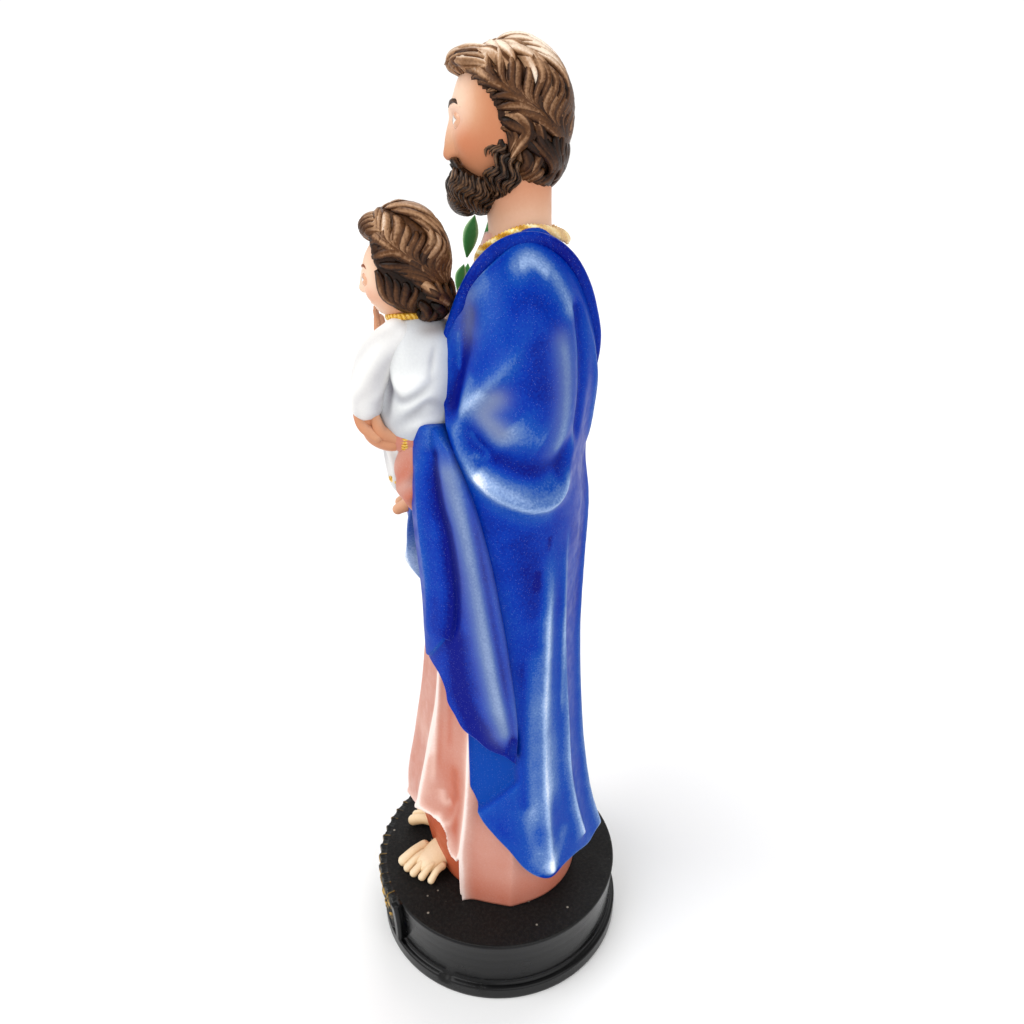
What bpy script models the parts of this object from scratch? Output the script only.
# Standing bearded man with a seated child and a lily stalk, on a round base.
# Metres, +Z up. The figure faces -Y, its left hand side is +X, the origin is
# the middle of the base's underside.
import bpy
import bmesh
import numpy as np

# The round base
BASE_HEIGHT = 0.0246
BASE_TOP_RADIUS = 0.0445
BASE_WAIST_RADIUS = 0.0436
BASE_FLANGE_RADIUS = 0.0458
BASE_FLANGE_HEIGHT = 0.0052
BASE_RIM_ROUND = 0.0006
BASE_FACETS = 44

# The raised frieze on the base's front: its half sweep in degrees, how far it
# stands out, the margin below it and its scalloped leaves
FRIEZE_SWEEP = 38.0
FRIEZE_DEPTH = 0.0028
FRIEZE_MARGIN = 0.0018
FRIEZE_LEAVES = 13
FRIEZE_STEPS_PER_LEAF = 4

# The figure above the base
FIGURE_HEIGHT = 0.2754
JOINT_GAP = 0.0003

# The cast's surface
SURFACE_STEP = 0.0009
FIGURE_TRIANGLES = 8100

# Everything of the figure below is in its own units, shares of its height
UNITS_TALL = 275.4
UNIT = FIGURE_HEIGHT / UNITS_TALL
AXIS_Y = 3.0

ROBE_COLOUR = (0.72, 0.33, 0.26)
BASE_COLOUR = (0.012, 0.011, 0.010)


def track(at, stops, values):
    """A smooth curve through a few stops, cubic between neighbours."""
    stops = np.asarray(stops, float)
    values = np.asarray(values, float)
    slopes = np.gradient(values, stops)
    at = np.clip(at, stops[0], stops[-1])
    left = np.clip(np.searchsorted(stops, at, side="right") - 1, 0, len(stops) - 2)
    span = stops[left + 1] - stops[left]
    t = (at - stops[left]) / span
    start = (1 + 2 * t) * (1 - t) ** 2 * values[left] + t * (1 - t) ** 2 * span * slopes[left]
    end = t * t * (3 - 2 * t) * values[left + 1] + t * t * (t - 1) * span * slopes[left + 1]
    return start + end


def ease(low, high, value):
    """0 below low, 1 above high, smooth between."""
    t = np.clip((value - low) / (high - low), 0.0, 1.0)
    return t * t * (3 - 2 * t)


def crest(offset, width):
    """A fold's ridge: sharp at the top, dying out at its foot."""
    return np.exp(-(np.abs(offset) / width) ** 1.35)


def swell(offset, width):
    """A soft round swelling."""
    return np.exp(-(offset / width) ** 2)


def around(angle, radius, height):
    """Points at an angle in degrees about the figure's upright axis."""
    turn = np.radians(angle)
    return np.stack([radius * np.cos(turn), AXIS_Y + radius * np.sin(turn), height + 0 * radius], axis=-1)


def oval(angle, half_width, front, back):
    """Radius of an oval whose front and back halves have their own depths."""
    turn = np.radians(angle)
    depth = np.where(np.sin(turn) < 0, front, back)
    return 1.0 / np.sqrt((np.cos(turn) / half_width) ** 2 + (np.sin(turn) / depth) ** 2)


# Heights of the sections that shape the robe and the mantle
BODY = [0, 14, 30, 56, 80, 105, 130, 150, 165, 180, 192, 202, 210, 217, 222, 227]
ROBE_WIDTH = [27.5, 27, 26.5, 25.5, 25.5, 26, 27, 28, 29, 30, 30.5, 30, 27, 20, 13.5, 10.5]
ROBE_FRONT = [30, 33.5, 35, 31.3, 27.8, 25.6, 24.2, 23.6, 23.3, 22.6, 21, 18, 14, 10, 7.5, 5.8]
ROBE_BACK = [26, 25.5, 24.5, 22.5, 21, 20, 20.5, 21, 21, 22, 23.4, 23, 21.6, 19.2, 17.2, 15.2]
MANTLE_WIDTH = [32.5, 31, 30.2, 30, 30.4, 31, 31.8, 33, 34.2, 35, 35, 34, 31.5, 26.5, 21, 14.5]
MANTLE_FRONT = [34, 34, 34, 33, 32, 31.2, 30.6, 29, 27.5, 26, 23.5, 20, 17, 13.5, 11, 9]
MANTLE_BACK = [36, 33.5, 29.4, 25.6, 23.8, 22.8, 23.4, 24.2, 23.4, 25, 26.6, 26.2, 24.3, 22, 19.6, 16.8]

FAR_BULGE = 6.0

# The mantle's border, by angle: its hem below and its collar line above
TURN = [-26, -22, -17, -8, 2, 12, 22, 29, 38, 50, 74, 90, 115, 140, 165, 190, 215, 240, 262, 280, 300]
HEM = [54, 48, 42, 35, 28, 19.5, 14.5, 13, 15, 16, 13.5, 17, 24, 21, 30, 40, 62, 104, 126, 140, 154]
COLLAR_TURN = [-26, -12, -2, 8, 20, 34, 50, 62, 70, 78, 88, 100, 125, 155, 190, 225, 262, 300]
COLLAR = [202, 211, 218, 223, 226, 227, 226, 223, 218, 206, 190, 178, 164, 154, 148, 147, 152, 163]

# The long folds: each is (height stops, angle stops, rise stops, width in degrees)
ROBE_FOLDS = [
    ([0, 34, 60, 100, 150], [-66, -65, -60, -53, -50], [2.6, 2.8, 2.2, 1.8, 0.6], 7),
    ([0, 30, 70, 120, 190], [-92, -93, -92, -90, -88], [2.6, 2.4, 2.0, 1.4, 0.5], 8),
    ([0, 30, 70, 120, 180], [-120, -119, -116, -112, -106], [2.8, 2.8, 2.2, 1.5, 0.6], 8),
    ([0, 26, 60, 100], [-34, -33, -29, -26], [2.4, 2.2, 1.8, 1.2], 7),
    ([0, 16, 40, 80], [3, 4, 8, 12], [1.0, 1.2, 1.2, 0.8], 9),
    ([0, 20, 40, 80], [-148, -147, -145, -140], [2.0, 2.0, 1.6, 1.0], 9),
    ([150, 175, 200, 215], [-76, -78, -82, -84], [0.4, 1.2, 1.0, 0.4], 7),
    ([150, 175, 200, 215], [-104, -102, -98, -94], [0.4, 1.2, 1.0, 0.4], 7),
]
MANTLE_FOLDS = [
    ([8, 30, 60, 100, 118, 128], [33, 31, 27, 27, 29, 32], [2.6, 2.6, 2.0, 1.5, 0.8, 0.0], 6.5),
    ([8, 30, 54, 90, 120, 146], [62, 52, 45, 43, 44, 45], [2.6, 2.0, 1.7, 1.5, 1.2, 0.0], 6.5),
    ([8, 40, 80, 120, 160, 178], [78, 74, 70, 68, 68, 68], [3.2, 2.4, 2.2, 2.0, 2.0, 0.4], 7),
    ([8, 40, 80, 120, 160], [103, 101, 97, 95, 94], [1.6, 2.8, 2.6, 2.4, 1.6], 8),
    ([8, 45, 80, 120, 155], [128, 126, 122, 118, 114], [3.0, 3.2, 2.0, 1.8, 1.0], 8),
    ([8, 40, 80, 120, 145], [152, 150, 146, 141, 136], [2.2, 2.2, 2.0, 1.6, 0.8], 8),
    ([20, 50, 90, 130], [177, 174, 168, 160], [2.4, 2.2, 1.9, 1.2], 8),
    ([30, 60, 100, 135], [203, 200, 192, 182], [2.4, 2.2, 1.9, 1.2], 8),
]
# Folds that swing across: each is (angle stops, height stops, rise stops, width in height)
MANTLE_SWAGS = [
    ([-24, -20, -13, -6, 3, 13, 25, 34, 39], [181, 175, 170, 166, 162, 159.5, 160, 163.5, 170],
     [0.6, 2.4, 3.2, 3.4, 3.6, 3.8, 3.8, 3.0, 0.6], 3.0),
    ([190, 215, 240, 265, 300], [112, 108, 114, 128, 152], [0.4, 2.4, 2.8, 2.6, 1.6], 5.0),
    ([160, 190, 225, 262, 300], [130, 124, 127, 140, 158], [0.4, 2.2, 2.4, 2.2, 1.4], 4.6),
]


def robe_radius(angle, height):
    """The pink robe: an oval column with upright folds."""
    radius = oval(angle, track(height, BODY, ROBE_WIDTH), track(height, BODY, ROBE_FRONT),
                  track(height, BODY, ROBE_BACK))
    for stops, turns, rises, width in ROBE_FOLDS:
        offset = (angle - track(height, stops, turns) + 180) % 360 - 180
        inside = ease(stops[0] - 1, stops[0], height) * ease(stops[-1] + 8, stops[-1], height)
        radius = radius + track(height, stops, rises) * inside * crest(offset, width)
    return radius


def cloth_radius(angle, height):
    """The mantle's cloth: a wider oval, the covered arm, long folds and swags."""
    radius = oval(angle, track(height, BODY, MANTLE_WIDTH), track(height, BODY, MANTLE_FRONT),
                  track(height, BODY, MANTLE_BACK))
    turned = (angle + 60) % 360 - 60
    # Gathered cloth hangs in a bulge before the right hip
    radius = radius + FAR_BULGE * swell(turned - 240, 15) * swell(height - 124, 13)
    # The arm under the cloth, its front ridge and the hollow beside the chest
    radius = radius + 4.2 * swell(turned - 16, 26) * swell(height - 184, 25)
    ridge = track(height, [178, 186, 194, 204, 214], [-22, -14, -5, 7, 14])
    radius = radius + 2.4 * crest(turned - ridge, 6) * ease(176, 184, height) * ease(214, 203, height)
    hollow = track(height, [176, 186, 196, 206], [-27, -24, -17, -9])
    radius = radius - 3.6 * swell(turned - hollow, 7) * ease(174, 182, height) * ease(210, 198, height)
    pouch = track(turned, [-20, -8, 4, 16, 28, 36], [181, 175, 171, 169, 170, 174])
    radius = radius - 3.0 * swell(height - pouch, 6) * ease(-22, -8, turned) * ease(38, 28, turned)
    crease = track(height, [159, 170, 181, 197, 207], [37, 36, 33, 34, 39])
    radius = radius - 2.0 * swell(turned - crease - 7, 5) * ease(156, 164, height) * ease(214, 205, height)
    for stops, turns, rises, width in MANTLE_FOLDS:
        offset = turned - track(height, stops, turns)
        inside = ease(stops[-1] + 10, stops[-1], height)
        radius = radius + track(height, stops, rises) * inside * crest(offset, width)
    for stops, heights, rises, width in MANTLE_SWAGS:
        inside = ease(stops[0] - 8, stops[0], turned) * ease(stops[-1] + 8, stops[-1], turned)
        offset = height - track(turned, stops, heights)
        radius = radius + track(turned, stops, rises) * inside * crest(offset, width)
    return radius


def mantle_radius(angle, height):
    """The cloth with the hollow at its front edge, where its under side shows."""
    radius = cloth_radius(angle, height)
    turned = (angle + 60) % 360 - 60
    brow = track(turned, [-24, -14, -6, 2, 8], [43, 46, 50, 54, 57])
    shade = ease(0, 3, height - brow) * ease(84, 74, height) * ease(10, 4, turned) * ease(-30, -22, turned)
    return radius - 2.6 * shade


def drape_radius(angle, height):
    """The end of the mantle that hangs over the forearm."""
    radius = cloth_radius(angle, height) + 2.6
    valley = track(height, [88, 113, 125, 144, 152, 162, 176], [-33, -30, -26, -26, -30, -33, -36])
    flap = ease(2, -2, angle - valley) * ease(0, 3, height - track(angle, [-54, -40, -30], [103, 107, 112]))
    body = swell(angle - track(height, [80, 99, 128, 147, 160], [-4, -6, -15, -20, -24]), 13)
    return radius + 1.8 * flap + 3.2 * body * ease(186, 170, height) - 1.2 * swell(angle - valley, 3)


def columns(count, low, high):
    return np.linspace(low, high, count)[None, :]


def rows(count, low, high):
    return np.linspace(low, high, count)[:, None]


def closed_mesh(rings):
    """Vertices and faces of rings joined up the stack, with a point closing each end."""
    count, sides = rings.shape[:2]
    points = np.concatenate([rings.reshape(-1, 3), [rings[0].mean(axis=0)], [rings[-1].mean(axis=0)]])
    grid = np.arange(count * sides).reshape(count, sides)
    nxt = np.roll(grid, -1, axis=1)
    faces = np.stack([grid[:-1], nxt[:-1], nxt[1:], grid[1:]], axis=-1).reshape(-1, 4).tolist()
    faces += [[nxt[0, j], grid[0, j], count * sides] for j in range(sides)]
    faces += [[grid[-1, j], nxt[-1, j], count * sides + 1] for j in range(sides)]
    return points, faces


def slab_mesh(outer, inner):
    """A sheet of cloth with thickness: an outer and an inner grid, walled round."""
    outer_part = outer.reshape(-1, 3)
    count, sides = outer.shape[:2]
    grid = np.arange(count * sides).reshape(count, sides)
    under = grid + count * sides
    faces = np.stack([grid[:-1, :-1], grid[:-1, 1:], grid[1:, 1:], grid[1:, :-1]], axis=-1).reshape(-1, 4)
    back = np.stack([under[:-1, :-1], under[1:, :-1], under[1:, 1:], under[:-1, 1:]], axis=-1).reshape(-1, 4)
    edge = np.concatenate([grid[0, :-1], grid[:-1, -1], grid[-1, :0:-1], grid[:0:-1, 0]])
    after = np.roll(edge, -1)
    wall = np.stack([after, edge, edge + count * sides, after + count * sides], axis=-1)
    return np.concatenate([outer_part, inner.reshape(-1, 3)]), np.concatenate([faces, back, wall]).tolist()


def blob(centre, radii, count=20, sides=28, shape=None):
    """A closed egg; shape, if given, changes each point by its direction."""
    polar = np.radians(rows(count, 4, 176))
    turn = np.radians(columns(sides + 1, 0, 360)[:, :-1])
    ball = np.stack([np.sin(polar) * np.cos(turn), np.sin(polar) * np.sin(turn), -np.cos(polar) + 0 * turn], -1)
    scale = 1.0 if shape is None else shape(ball)[..., None]
    return closed_mesh(np.asarray(centre) + ball * np.asarray(radii) * scale)


def limb(path, widths, flat=1.0, count=24, sides=14, lift=None):
    """A tube with round ends along a smooth path; flat squeezes it upright."""
    path = np.asarray(path, float)
    stops = np.linspace(0, 1, len(path))
    along = np.linspace(0, 1, count)
    middle = np.stack([track(along, stops, path[:, k]) for k in range(3)], axis=-1)
    width = track(along, np.linspace(0, 1, len(widths)), widths)
    ahead = np.gradient(middle, axis=0)
    ahead /= np.linalg.norm(ahead, axis=1, keepdims=True)
    up = np.asarray([0.0, 0.0, 1.0] if lift is None else lift)
    side = np.cross(ahead, up)
    side /= np.linalg.norm(side, axis=1, keepdims=True)
    rise = np.cross(side, ahead)
    turn = np.radians(columns(sides + 1, 0, 360)[:, :-1])[..., None]
    width = width[:, None, None]
    rings = side[:, None, :] * np.cos(turn) * width + rise[:, None, :] * np.sin(turn) * width * flat
    rings = rings + middle[:, None, :]
    # Round ends: three smaller rings past each end
    ends = []
    for bulge in (0.92, 0.72, 0.38):
        reach = np.sqrt(1 - bulge ** 2)
        ends.append((middle[0] + (rings[0] - middle[0]) * bulge - ahead[0] * width[0] * reach,
                     middle[-1] + (rings[-1] - middle[-1]) * bulge + ahead[-1] * width[-1] * reach))
    first = np.stack([pair[0] for pair in reversed(ends)])
    last = np.stack([pair[1] for pair in ends])
    return closed_mesh(np.concatenate([first, rings, last]))


def robe():
    height = rows(110, 0, 227)
    angle = columns(181, -180, 180)[:, :-1]
    return closed_mesh(around(angle, robe_radius(angle, height), height))


def mantle():
    first = columns(260, TURN[0], TURN[-1])
    share = rows(150, 0, 1)
    low = track(first, TURN, HEM)
    height = low + share * (track(first, COLLAR_TURN, COLLAR) - low)
    # Above the forearm the front border leans out over the chest
    lean = -20 * ease(170, 202, height) * ease(20, -22, first)
    angle = first + lean
    radius = mantle_radius(angle, height)
    return slab_mesh(around(angle, radius, height), around(angle, radius * 0.72, height))


def collar_roll():
    """The mantle's rolled border over the left shoulder and down the back."""
    turn = np.array([-22, -12, -2, 8, 20, 34, 50, 62, 70, 78, 86, 94])
    height = track(turn, COLLAR_TURN, COLLAR)
    angle = turn - 20 * ease(170, 202, height) * ease(20, -22, turn)
    path = around(angle, mantle_radius(angle, height) - 0.8, height)
    return limb(path, [1.4, 2.0, 2.3, 2.4, 2.4, 2.4, 2.5, 2.6, 2.6, 2.4, 2.0, 1.2], count=48, sides=12)


def forearm_drape():
    share_across = columns(60, 0, 1)
    share_up = rows(100, 0, 1)
    left_low, right_low = -54, 8
    base_angle = left_low + share_across * (right_low - left_low)
    low = track(base_angle, [-54, -46, -40, -35, -30, -25, -17, -10, -3, 3, 6, 8],
                [103, 99, 96, 92, 85, 80.5, 77.5, 74.5, 73, 70.3, 68.7, 70])
    high = track(base_angle, [-54, -40, -24, -8, 8], [181, 183, 182, 172, 166])
    height = low + share_up * (high - low)
    right_edge = track(height, [68, 79, 98, 109, 126, 138, 147, 170, 180], [7.5, 7.2, 4, 1.7, -2.8, -6, -9, -13, -20])
    angle = left_low + share_across * (right_edge - left_low)
    radius = drape_radius(angle, height)
    return slab_mesh(around(angle, radius, height), around(angle, radius - 9, height))


def left_arm():
    sleeve = limb([(23, 9, 206), (25, 13, 192), (25, 13, 178), (23, 2, 173), (21, -12, 173), (20, -22, 174)],
                  [8, 8.5, 8.5, 8.5, 8.5, 7.5], count=36, sides=18)
    bag = limb([(19, -21, 172), (18, -22.5, 164), (17, -22.5, 156), (17, -21, 151)], [5.5, 6, 5.5, 3.0])
    return [sleeve, bag]


def left_hand():
    palm = limb([(19, -26, 174), (18.5, -30, 173.5), (18.5, -33, 176)], [4.2, 4.6, 4.0], flat=0.8)
    pieces = [palm]
    for k in range(4):
        x = 15.5 + 2.6 * k
        tip = 190 - 1.4 * abs(k - 1.4)
        pieces.append(limb([(x, -32, 175), (x, -36, 178), (x, -36.6, 183), (x - 0.4, -35, tip)],
                           [1.9, 1.8, 1.6, 1.2], count=14, sides=10))
    pieces.append(limb([(22.5, -27, 174.5), (23.6, -31, 177), (23.4, -32.6, 182.5)], [2.0, 1.9, 1.4], count=14, sides=10))
    return pieces


def right_arm():
    sleeve = limb([(-24, 8, 207), (-29, 10, 192), (-30, 8, 176), (-28, -3, 170), (-25, -13, 176)],
                  [9.5, 10.5, 10, 9, 7.5], count=36, sides=18)
    mouth = limb([(-25, -10, 172), (-26, -11, 160), (-26, -9, 148)], [6.5, 6.0, 3.5])
    hand = limb([(-24.5, -16, 180), (-24, -19, 184), (-23, -19, 188)], [3.8, 4.2, 3.2])
    fingers = [limb([(-21, -18, 181 + 2.4 * k), (-22, -22.6, 181.6 + 2.4 * k), (-26, -22, 182 + 2.4 * k)],
                    [1.5, 1.5, 1.3], count=12, sides=10) for k in range(4)]
    return [sleeve, mouth, hand] + fingers


def neck():
    return [limb([(0, 7.5, 212), (0, 7.2, 226), (0, 6.0, 242)], [10.5, 9.0, 9.4], lift=(0, 1, 0), sides=20)]


def head():
    def face(ball):
        x, y, z = ball[..., 0], ball[..., 1], ball[..., 2]
        front = ease(0.2, 0.8, -y)
        nose = 0.30 * np.exp(-(x / 0.14) ** 2) * ease(0.12, -0.22, z) * ease(-0.40, -0.26, z)
        socket = -0.07 * (np.exp(-((x - 0.36) / 0.2) ** 2) + np.exp(-((x + 0.36) / 0.2) ** 2))
        socket = socket * np.exp(-((z - 0.02) / 0.13) ** 2)
        chin = 0.06 * np.exp(-(x / 0.3) ** 2) * np.exp(-((z + 0.78) / 0.16) ** 2)
        return 1 + front * (nose + socket + chin)
    return [blob((0, 3.2, 254.5), (11.6, 14.4, 18.6), 40, 48, face)]


def beard():
    chin = blob((0, -4.5, 241.0), (9.3, 7.8, 8.6), 20, 28)
    jaw = blob((0, 1.5, 242.5), (11.6, 9.0, 9.5), 20, 28)
    lip = limb([(-5.5, -9.0, 244.4), (0, -11.6, 246.2), (5.5, -9.0, 244.4)], [1.3, 1.7, 1.3], count=16, sides=10)
    return [chin, jaw, lip]


def combed(ball, ear, lock_count, rise, opening):
    """Hair as thickness over an egg: locks swept back, cut away at the face."""
    x, y, z = ball[..., 0], ball[..., 1], ball[..., 2]
    comb = np.arctan2(z - ear, -y)
    lock = lock_count * x + 0.9 * np.sin(3.4 * comb)
    round_lock = np.abs(np.sin(np.pi * lock)) ** 0.7
    face = ease(opening, opening - 0.3, y) * ease(0.80, 0.52, z)
    return 1 + rise * (round_lock - 0.5) - 0.36 * face


def hair():
    """Swept-back locks over the crown, fuller at the nape, a raised forelock."""
    cap = blob((0, 5.4, 256.0), (13.4, 15.6, 18.9), 60, 90, lambda ball: combed(ball, 0.1, 4.5, 0.10, -0.36))
    nape = blob((0, 11.0, 246.5), (11.8, 8.0, 9.4), 30, 50, lambda ball: combed(ball, 0.1, 4.0, 0.12, -2.0))
    forelock = limb([(-9.5, -2, 265), (-5.5, -6.6, 267.2), (0, -8.4, 268), (5.5, -6.6, 267.2), (9.5, -2, 265)],
                    [1.8, 2.3, 2.5, 2.3, 1.8], count=24, sides=14)
    return [cap, nape, forelock]


def child():
    body = [limb([(15, -19, 178), (15, -20.5, 188), (14.5, -21, 197), (14, -20.5, 204)], [12.5, 12.2, 11, 6.5],
                 lift=(0, 1, 0), count=20, sides=24)]
    lap = [limb([(15, -19, 180), (9, -24, 178), (3, -28, 176)], [9.5, 8.6, 7.4], count=20, sides=18),
           limb([(4, -27.5, 176), (3, -27.5, 166), (3.5, -26, 157)], [7.0, 6.0, 6.6], lift=(0, 1, 0), sides=18)]
    feet = [limb([(x, -25.5, 156), (x, -26.5, 149), (x - 0.5, -30.5, 146)], [2.6, 2.3, 1.8], sides=10)
            for x in (0.5, 6.5)]
    left = [limb([(20, -27, 201), (22, -32, 195), (22.4, -34.2, 186)], [5.6, 5.2, 4.8], count=16, sides=16),
            limb([(22.2, -33.5, 186), (20, -35, 177), (15, -36, 176)], [2.7, 2.5, 2.2], count=14, sides=10)]
    right = [limb([(6, -22, 200), (1, -27, 194), (-1, -31, 192)], [5.6, 5.0, 4.6], count=16, sides=16),
             limb([(-1, -31, 192), (-3, -33.5, 197), (-3.4, -34, 203)], [2.6, 2.3, 1.9], count=14, sides=10)]
    head_parts = [limb([(14, -21, 202), (14.5, -22.5, 209)], [5.0, 4.8], lift=(0, 1, 0), count=8, sides=14),
                  blob((14.5, -25.0, 218.0), (9.4, 9.6, 11.8), 24, 28),
                  blob((15.0, -22.6, 221.6), (11.0, 11.4, 14.2), 50, 70, lambda ball: combed(ball, 0, 3.5, 0.12, -0.3)),
                  blob((15.5, -18.0, 211.4), (9.0, 6.6, 8.4), 30, 40, lambda ball: combed(ball, 0, 3.5, 0.14, -2.0)),
                  limb([(8.5, -28, 226), (14, -32.2, 229), (19.5, -28, 226)], [1.6, 2.0, 1.6], count=16, sides=12)]
    return body + lap + feet + left + right + head_parts


def lily():
    stalk = limb([(-24, -21, 165), (-23.5, -19, 185), (-22.5, -14, 205), (-22, -6, 226), (-22.5, 0, 238)],
                 [1.1, 1.1, 1.1, 1.2, 1.3], count=24, sides=8)
    leaves = []
    for x, y, z, dx, dy, dz in ((-21, -12, 203, 3, -2.5, 9), (-21.5, -9, 213, 3.5, -1.5, 9),
                                (-21, -5.5, 220, 4, -0.5, 11), (-23, -10, 206, -5, 1, 10)):
        leaves.append(limb([(x, y, z), (x + dx * 0.5, y + dy * 0.5, z + dz * 0.5), (x + dx, y + dy, z + dz)],
                           [1.4, 2.4, 0.9], flat=0.45, count=10, sides=8, lift=(0, 1, 0)))
    blossoms = [blob(place, (4.2, 4.2, 4.6), 12, 14)
                for place in ((-22.5, 2.5, 241), (-27.5, 3.5, 236), (-22.0, 6.5, 234))]
    return [stalk] + leaves + blossoms


def feet():
    """Bare toes under the hem, left foot ahead and turned out."""
    pieces = []
    for side, x0, y0, turn in ((1, 7, -22, 40), (-1, -12, -20.5, -20)):
        lead = np.array([np.sin(np.radians(turn)), -np.cos(np.radians(turn))])
        across = np.array([lead[1], -lead[0]]) * -1
        sole = [(x0 - lead[0] * 8, y0 - lead[1] * 8, 5.2), (x0, y0, 4.4), (x0 + lead[0] * 7, y0 + lead[1] * 7, 3.2)]
        pieces.append(limb(sole, [6.0, 6.2, 5.4], flat=0.62, sides=18))
        for k in range(5):
            shift = side * (k - 2) * 3.3
            reach = (13.0, 13.4, 13.0, 11.6, 9.8)[k]
            root = np.array([x0, y0]) + across * shift + lead * 5
            tip = np.array([x0, y0]) + across * shift * 1.05 + lead * reach
            girth = (2.1, 1.6, 1.5, 1.4, 1.3)[k]
            pieces.append(limb([(root[0], root[1], 3.6), (tip[0], tip[1], girth + 0.3)], [girth, girth],
                               count=8, sides=10))
    return pieces


def figure_shells():
    shells = [robe(), mantle(), collar_roll(), forearm_drape()]
    for group in (left_arm, left_hand, right_arm, neck, head, beard, hair, child, lily, feet):
        shells += group()
    return shells


def painted(name, colour, roughness, metallic=0.0):
    material = bpy.data.materials.new(name)
    material.use_nodes = True
    shader = material.node_tree.nodes["Principled BSDF"]
    shader.inputs["Base Color"].default_value = (*colour, 1.0)
    shader.inputs["Roughness"].default_value = roughness
    shader.inputs["Metallic"].default_value = metallic
    return material


def place(name, points, faces, material):
    mesh = bpy.data.meshes.new(name)
    mesh.from_pydata(points.tolist(), [], faces)
    mesh.update()
    thing = bpy.data.objects.new(name, mesh)
    thing.data.materials.append(material)
    bpy.context.scene.collection.objects.link(thing)
    return thing


def turned_outward(points, faces):
    """The faces of a closed shell, reversed where they enclose a negative volume."""
    volume = 0.0
    for face in faces:
        a, b, c = points[face[0]], points[face[1]], points[face[2]]
        volume += np.dot(a, np.cross(b, c))
        if len(face) == 4:
            volume += np.dot(a, np.cross(c, points[face[3]]))
    return faces if volume > 0 else [face[::-1] for face in faces]


def settled(thing):
    """The mesh as its modifiers leave it."""
    graph = bpy.context.evaluated_depsgraph_get()
    return bpy.data.meshes.new_from_object(thing.evaluated_get(graph))


def triangle_count(mesh):
    mesh.calc_loop_triangles()
    return len(mesh.loop_triangles)


def one_body(mesh):
    """Keep the outer skin alone: the island with the widest reach."""
    skin = bmesh.new()
    skin.from_mesh(mesh)
    left = set(skin.verts)
    islands = []
    while left:
        seed = left.pop()
        island, edge_of = {seed}, [seed]
        while edge_of:
            point = edge_of.pop()
            for edge in point.link_edges:
                other = edge.other_vert(point)
                if other in left:
                    left.discard(other)
                    island.add(other)
                    edge_of.append(other)
        islands.append(island)
    widest = max(islands, key=len)
    bmesh.ops.delete(skin, geom=[v for island in islands if island is not widest for v in island], context="VERTS")
    bmesh.ops.triangulate(skin, faces=skin.faces)
    skin.to_mesh(mesh)
    skin.free()


def make_figure():
    """All forms run together as one casting, then thinned to few triangles."""
    points, faces = [], []
    for shell_points, shell_faces in figure_shells():
        start = sum(len(block) for block in points)
        points.append(shell_points)
        faces += [[index + start for index in face] for face in turned_outward(shell_points, shell_faces)]
    points = np.concatenate(points) * UNIT
    points[:, 2] += BASE_HEIGHT + JOINT_GAP
    figure = place("figure", points, faces, painted("painted_resin", ROBE_COLOUR, 0.35))
    skin = figure.modifiers.new("skin", "REMESH")
    skin.mode = "VOXEL"
    skin.voxel_size = SURFACE_STEP
    figure.data = settled(figure)
    figure.modifiers.clear()
    one_body(figure.data)
    thin = figure.modifiers.new("thin", "DECIMATE")
    thin.ratio = FIGURE_TRIANGLES / triangle_count(figure.data)
    figure.data = settled(figure)
    figure.modifiers.clear()
    # The soles are cut level, a gap above the base
    body = bmesh.new()
    body.from_mesh(figure.data)
    cut = bmesh.ops.bisect_plane(body, geom=body.verts[:] + body.edges[:] + body.faces[:],
                                 plane_co=(0, 0, BASE_HEIGHT + JOINT_GAP), plane_no=(0, 0, 1), clear_inner=True)
    rim = [item for item in cut["geom_cut"] if isinstance(item, bmesh.types.BMEdge)]
    bmesh.ops.edgenet_fill(body, edges=rim)
    bmesh.ops.triangulate(body, faces=body.faces)
    body.to_mesh(figure.data)
    body.free()
    return figure


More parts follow.
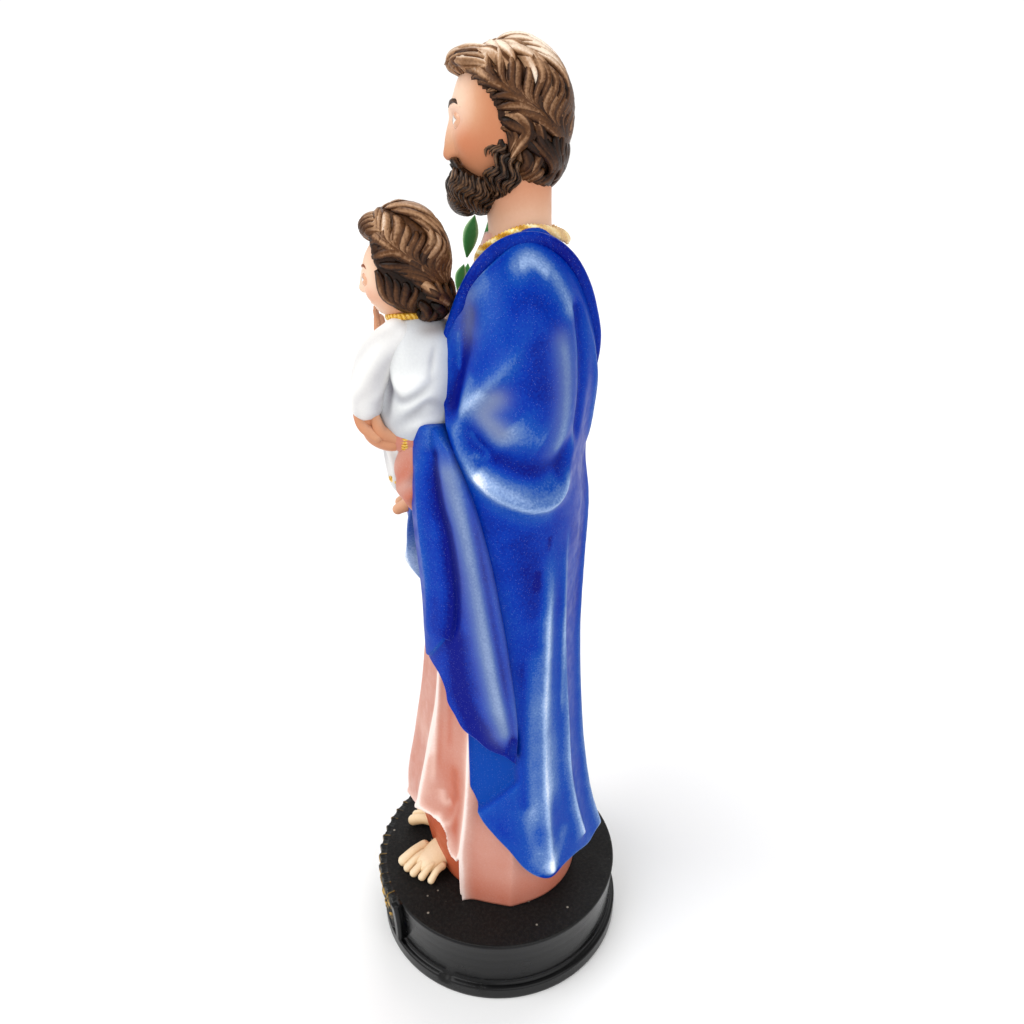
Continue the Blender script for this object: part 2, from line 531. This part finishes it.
def frieze_rise(turn, height):
    """How far the front frieze stands out of the wall: a scalloped band."""
    from_front = np.degrees(np.arctan2(np.cos(turn), -np.sin(turn)))
    inside = np.abs(from_front) <= FRIEZE_SWEEP
    leaf = np.abs(np.cos(np.pi * FRIEZE_LEAVES * from_front / (2 * FRIEZE_SWEEP)))
    band = (height > BASE_FLANGE_HEIGHT + FRIEZE_MARGIN) & (height <= BASE_HEIGHT)
    return np.where(inside & band, FRIEZE_DEPTH * (0.72 + 0.28 * leaf), 0.0)


def make_base():
    """A turned base: flange, hollowed wall, rounded top rim and the front frieze."""
    wall = [(BASE_FLANGE_RADIUS, 0), (BASE_FLANGE_RADIUS, BASE_FLANGE_HEIGHT - BASE_RIM_ROUND),
            (BASE_FLANGE_RADIUS - BASE_RIM_ROUND, BASE_FLANGE_HEIGHT)]
    foot = BASE_FLANGE_HEIGHT + FRIEZE_MARGIN
    for rise in (BASE_FLANGE_HEIGHT + BASE_RIM_ROUND, foot, foot + BASE_RIM_ROUND,
                 (foot + BASE_HEIGHT) / 2, BASE_HEIGHT - BASE_RIM_ROUND):
        share = (rise - BASE_FLANGE_HEIGHT) / (BASE_HEIGHT - BASE_FLANGE_HEIGHT)
        wall.append((BASE_WAIST_RADIUS + (BASE_TOP_RADIUS - BASE_WAIST_RADIUS) * share ** 2, rise))
    wall.append((BASE_TOP_RADIUS - BASE_RIM_ROUND, BASE_HEIGHT))
    plain = np.linspace(-90 + FRIEZE_SWEEP + 0.4, 270 - FRIEZE_SWEEP - 0.4, BASE_FACETS)
    carved = np.linspace(-90 - FRIEZE_SWEEP, -90 + FRIEZE_SWEEP, FRIEZE_LEAVES * FRIEZE_STEPS_PER_LEAF + 1)
    turn = np.radians(np.concatenate([carved, plain]))
    rings = np.stack([np.stack([(radius + frieze_rise(turn, rise)) * np.cos(turn),
                                (radius + frieze_rise(turn, rise)) * np.sin(turn),
                                rise + 0 * turn], axis=-1) for radius, rise in wall])
    points, faces = closed_mesh(rings)
    return place("base", points, turned_outward(points, faces), painted("black_lacquer", BASE_COLOUR, 0.3))


def make_statue():
    for thing in list(bpy.data.objects):
        bpy.data.objects.remove(thing, do_unlink=True)
    make_base()
    make_figure()


make_statue()
